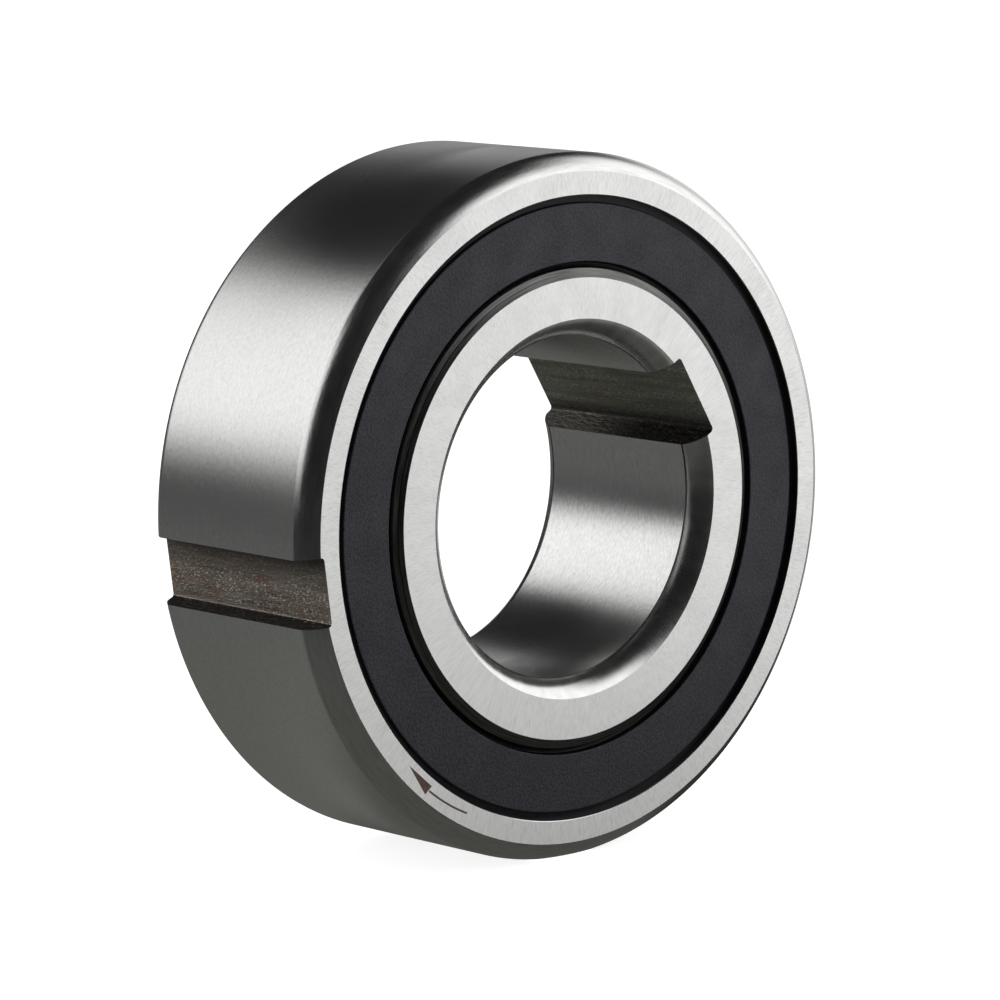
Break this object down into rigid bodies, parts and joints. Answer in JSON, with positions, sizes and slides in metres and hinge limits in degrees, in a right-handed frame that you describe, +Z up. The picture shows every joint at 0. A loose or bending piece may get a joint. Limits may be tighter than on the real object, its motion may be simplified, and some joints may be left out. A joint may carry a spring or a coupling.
{
  "type": "sprag clutch",
  "caption": "Sealed one-way sprag clutch in a ball bearing envelope, with a keyway in the bore and one on the rim.",
  "frame": {"origin": "centre of the bore at mid-width", "axes": "clutch axis along Y, marked front face towards -Y, +Z up; the clutch stands on its rim"},
  "size_m": [0.062, 0.021, 0.062],
  "materials": {
    "ground_steel": "ground",
    "seal_rubber": "fine matt grain",
    "plated_steel": "zinc plated",
    "pressed_steel": "pressed and tumbled",
    "spring_steel": "drawn wire",
    "polished_steel": "lapped",
    "sprag_steel": "hardened and tumbled"
  },
  "bodies": {
    "outer_ring": {"outer_ring": "ground_steel", "front_seal": "seal_rubber", "front_seal_core": "plated_steel", "rear_seal": "seal_rubber", "rear_seal_core": "plated_steel", "sprag_cage": "pressed_steel", "garter_spring": "spring_steel"},
    "inner_ring": {"inner_ring": "ground_steel"},
    "ball_cage": {"ball_cage_front": "pressed_steel", "ball_cage_rear": "pressed_steel", "cage_rivets": "pressed_steel"},
    "ball_01": {"ball_01": "polished_steel"},
    "ball_02": {"ball_02": "polished_steel"},
    "ball_03": {"ball_03": "polished_steel"},
    "ball_04": {"ball_04": "polished_steel"},
    "ball_05": {"ball_05": "polished_steel"},
    "ball_06": {"ball_06": "polished_steel"},
    "ball_07": {"ball_07": "polished_steel"},
    "ball_08": {"ball_08": "polished_steel"},
    "ball_09": {"ball_09": "polished_steel"},
    "ball_10": {"ball_10": "polished_steel"},
    "ball_11": {"ball_11": "polished_steel"},
    "ball_12": {"ball_12": "polished_steel"},
    "sprag_01": {"sprag_01": "sprag_steel"},
    "sprag_02": {"sprag_02": "sprag_steel"},
    "sprag_03": {"sprag_03": "sprag_steel"},
    "sprag_04": {"sprag_04": "sprag_steel"},
    "sprag_05": {"sprag_05": "sprag_steel"},
    "sprag_06": {"sprag_06": "sprag_steel"},
    "sprag_07": {"sprag_07": "sprag_steel"},
    "sprag_08": {"sprag_08": "sprag_steel"},
    "sprag_09": {"sprag_09": "sprag_steel"},
    "sprag_10": {"sprag_10": "sprag_steel"},
    "sprag_11": {"sprag_11": "sprag_steel"},
    "sprag_12": {"sprag_12": "sprag_steel"},
    "sprag_13": {"sprag_13": "sprag_steel"},
    "sprag_14": {"sprag_14": "sprag_steel"},
    "sprag_15": {"sprag_15": "sprag_steel"},
    "sprag_16": {"sprag_16": "sprag_steel"},
    "sprag_17": {"sprag_17": "sprag_steel"},
    "sprag_18": {"sprag_18": "sprag_steel"}
  },
  "joints": [
    {"name": "inner_ring_overrun", "type": "hinge", "parent": "outer_ring", "child": "inner_ring", "pos_m": [0, 0, 0], "axis": [0, -1, 0], "range_deg": [0, 810]},
    {"name": "ball_cage_turn", "type": "hinge", "parent": "outer_ring", "child": "ball_cage", "pos_m": [0, 0.0039, 0], "axis": [0, -1, 0], "range_deg": [0, 346]},
    {"name": "ball_01_roll", "type": "hinge", "parent": "ball_cage", "child": "ball_01", "pos_m": [0, 0.0039, 0.02375], "axis": [0, -1, 0], "range_deg": [-2633, 0]},
    {"name": "ball_02_roll", "type": "hinge", "parent": "ball_cage", "child": "ball_02", "pos_m": [-0.01188, 0.0039, 0.02057], "axis": [0, -1, 0], "range_deg": [-2633, 0]},
    {"name": "ball_03_roll", "type": "hinge", "parent": "ball_cage", "child": "ball_03", "pos_m": [-0.02057, 0.0039, 0.01188], "axis": [0, -1, 0], "range_deg": [-2633, 0]},
    {"name": "ball_04_roll", "type": "hinge", "parent": "ball_cage", "child": "ball_04", "pos_m": [-0.02375, 0.0039, 0], "axis": [0, -1, 0], "range_deg": [-2633, 0]},
    {"name": "ball_05_roll", "type": "hinge", "parent": "ball_cage", "child": "ball_05", "pos_m": [-0.02057, 0.0039, -0.01188], "axis": [0, -1, 0], "range_deg": [-2633, 0]},
    {"name": "ball_06_roll", "type": "hinge", "parent": "ball_cage", "child": "ball_06", "pos_m": [-0.01188, 0.0039, -0.02057], "axis": [0, -1, 0], "range_deg": [-2633, 0]},
    {"name": "ball_07_roll", "type": "hinge", "parent": "ball_cage", "child": "ball_07", "pos_m": [0, 0.0039, -0.02375], "axis": [0, -1, 0], "range_deg": [-2633, 0]},
    {"name": "ball_08_roll", "type": "hinge", "parent": "ball_cage", "child": "ball_08", "pos_m": [0.01188, 0.0039, -0.02057], "axis": [0, -1, 0], "range_deg": [-2633, 0]},
    {"name": "ball_09_roll", "type": "hinge", "parent": "ball_cage", "child": "ball_09", "pos_m": [0.02057, 0.0039, -0.01188], "axis": [0, -1, 0], "range_deg": [-2633, 0]},
    {"name": "ball_10_roll", "type": "hinge", "parent": "ball_cage", "child": "ball_10", "pos_m": [0.02375, 0.0039, 0], "axis": [0, -1, 0], "range_deg": [-2633, 0]},
    {"name": "ball_11_roll", "type": "hinge", "parent": "ball_cage", "child": "ball_11", "pos_m": [0.02057, 0.0039, 0.01188], "axis": [0, -1, 0], "range_deg": [-2633, 0]},
    {"name": "ball_12_roll", "type": "hinge", "parent": "ball_cage", "child": "ball_12", "pos_m": [0.01188, 0.0039, 0.02057], "axis": [0, -1, 0], "range_deg": [-2633, 0]},
    {"name": "sprag_01_tilt", "type": "hinge", "parent": "outer_ring", "child": "sprag_01", "pos_m": [0, -0.0042, 0.02375], "axis": [0, -1, 0], "range_deg": [0, 4.2], "stiffness_Nm_per_rad": 0.0001, "springref_deg": -57.3},
    {"name": "sprag_02_tilt", "type": "hinge", "parent": "outer_ring", "child": "sprag_02", "pos_m": [-0.00812, -0.0042, 0.02232], "axis": [0, -1, 0], "range_deg": [0, 4.2]},
    {"name": "sprag_03_tilt", "type": "hinge", "parent": "outer_ring", "child": "sprag_03", "pos_m": [-0.01527, -0.0042, 0.01819], "axis": [0, -1, 0], "range_deg": [0, 4.2]},
    {"name": "sprag_04_tilt", "type": "hinge", "parent": "outer_ring", "child": "sprag_04", "pos_m": [-0.02057, -0.0042, 0.01188], "axis": [0, -1, 0], "range_deg": [0, 4.2]},
    {"name": "sprag_05_tilt", "type": "hinge", "parent": "outer_ring", "child": "sprag_05", "pos_m": [-0.02339, -0.0042, 0.00412], "axis": [0, -1, 0], "range_deg": [0, 4.2]},
    {"name": "sprag_06_tilt", "type": "hinge", "parent": "outer_ring", "child": "sprag_06", "pos_m": [-0.02339, -0.0042, -0.00412], "axis": [0, -1, 0], "range_deg": [0, 4.2]},
    {"name": "sprag_07_tilt", "type": "hinge", "parent": "outer_ring", "child": "sprag_07", "pos_m": [-0.02057, -0.0042, -0.01188], "axis": [0, -1, 0], "range_deg": [0, 4.2]},
    {"name": "sprag_08_tilt", "type": "hinge", "parent": "outer_ring", "child": "sprag_08", "pos_m": [-0.01527, -0.0042, -0.01819], "axis": [0, -1, 0], "range_deg": [0, 4.2]},
    {"name": "sprag_09_tilt", "type": "hinge", "parent": "outer_ring", "child": "sprag_09", "pos_m": [-0.00812, -0.0042, -0.02232], "axis": [0, -1, 0], "range_deg": [0, 4.2]},
    {"name": "sprag_10_tilt", "type": "hinge", "parent": "outer_ring", "child": "sprag_10", "pos_m": [0, -0.0042, -0.02375], "axis": [0, -1, 0], "range_deg": [0, 4.2]},
    {"name": "sprag_11_tilt", "type": "hinge", "parent": "outer_ring", "child": "sprag_11", "pos_m": [0.00812, -0.0042, -0.02232], "axis": [0, -1, 0], "range_deg": [0, 4.2]},
    {"name": "sprag_12_tilt", "type": "hinge", "parent": "outer_ring", "child": "sprag_12", "pos_m": [0.01527, -0.0042, -0.01819], "axis": [0, -1, 0], "range_deg": [0, 4.2]},
    {"name": "sprag_13_tilt", "type": "hinge", "parent": "outer_ring", "child": "sprag_13", "pos_m": [0.02057, -0.0042, -0.01188], "axis": [0, -1, 0], "range_deg": [0, 4.2]},
    {"name": "sprag_14_tilt", "type": "hinge", "parent": "outer_ring", "child": "sprag_14", "pos_m": [0.02339, -0.0042, -0.00412], "axis": [0, -1, 0], "range_deg": [0, 4.2]},
    {"name": "sprag_15_tilt", "type": "hinge", "parent": "outer_ring", "child": "sprag_15", "pos_m": [0.02339, -0.0042, 0.00412], "axis": [0, -1, 0], "range_deg": [0, 4.2]},
    {"name": "sprag_16_tilt", "type": "hinge", "parent": "outer_ring", "child": "sprag_16", "pos_m": [0.02057, -0.0042, 0.01188], "axis": [0, -1, 0], "range_deg": [0, 4.2]},
    {"name": "sprag_17_tilt", "type": "hinge", "parent": "outer_ring", "child": "sprag_17", "pos_m": [0.01527, -0.0042, 0.01819], "axis": [0, -1, 0], "range_deg": [0, 4.2]},
    {"name": "sprag_18_tilt", "type": "hinge", "parent": "outer_ring", "child": "sprag_18", "pos_m": [0.00812, -0.0042, 0.02232], "axis": [0, -1, 0], "range_deg": [0, 4.2]}
  ],
  "couplings": [
    {"joint": "ball_cage_turn", "follows": "inner_ring_overrun", "ratio": 0.4248},
    {"joint": "ball_01_roll", "follows": "inner_ring_overrun", "ratio": -3.2493},
    {"joint": "ball_02_roll", "follows": "inner_ring_overrun", "ratio": -3.2493},
    {"joint": "ball_03_roll", "follows": "inner_ring_overrun", "ratio": -3.2493},
    {"joint": "ball_04_roll", "follows": "inner_ring_overrun", "ratio": -3.2493},
    {"joint": "ball_05_roll", "follows": "inner_ring_overrun", "ratio": -3.2493},
    {"joint": "ball_06_roll", "follows": "inner_ring_overrun", "ratio": -3.2493},
    {"joint": "ball_07_roll", "follows": "inner_ring_overrun", "ratio": -3.2493},
    {"joint": "ball_08_roll", "follows": "inner_ring_overrun", "ratio": -3.2493},
    {"joint": "ball_09_roll", "follows": "inner_ring_overrun", "ratio": -3.2493},
    {"joint": "ball_10_roll", "follows": "inner_ring_overrun", "ratio": -3.2493},
    {"joint": "ball_11_roll", "follows": "inner_ring_overrun", "ratio": -3.2493},
    {"joint": "ball_12_roll", "follows": "inner_ring_overrun", "ratio": -3.2493},
    {"joint": "sprag_02_tilt", "follows": "sprag_01_tilt", "ratio": 1},
    {"joint": "sprag_03_tilt", "follows": "sprag_01_tilt", "ratio": 1},
    {"joint": "sprag_04_tilt", "follows": "sprag_01_tilt", "ratio": 1},
    {"joint": "sprag_05_tilt", "follows": "sprag_01_tilt", "ratio": 1},
    {"joint": "sprag_06_tilt", "follows": "sprag_01_tilt", "ratio": 1},
    {"joint": "sprag_07_tilt", "follows": "sprag_01_tilt", "ratio": 1},
    {"joint": "sprag_08_tilt", "follows": "sprag_01_tilt", "ratio": 1},
    {"joint": "sprag_09_tilt", "follows": "sprag_01_tilt", "ratio": 1},
    {"joint": "sprag_10_tilt", "follows": "sprag_01_tilt", "ratio": 1},
    {"joint": "sprag_11_tilt", "follows": "sprag_01_tilt", "ratio": 1},
    {"joint": "sprag_12_tilt", "follows": "sprag_01_tilt", "ratio": 1},
    {"joint": "sprag_13_tilt", "follows": "sprag_01_tilt", "ratio": 1},
    {"joint": "sprag_14_tilt", "follows": "sprag_01_tilt", "ratio": 1},
    {"joint": "sprag_15_tilt", "follows": "sprag_01_tilt", "ratio": 1},
    {"joint": "sprag_16_tilt", "follows": "sprag_01_tilt", "ratio": 1},
    {"joint": "sprag_17_tilt", "follows": "sprag_01_tilt", "ratio": 1},
    {"joint": "sprag_18_tilt", "follows": "sprag_01_tilt", "ratio": 1}
  ]
}
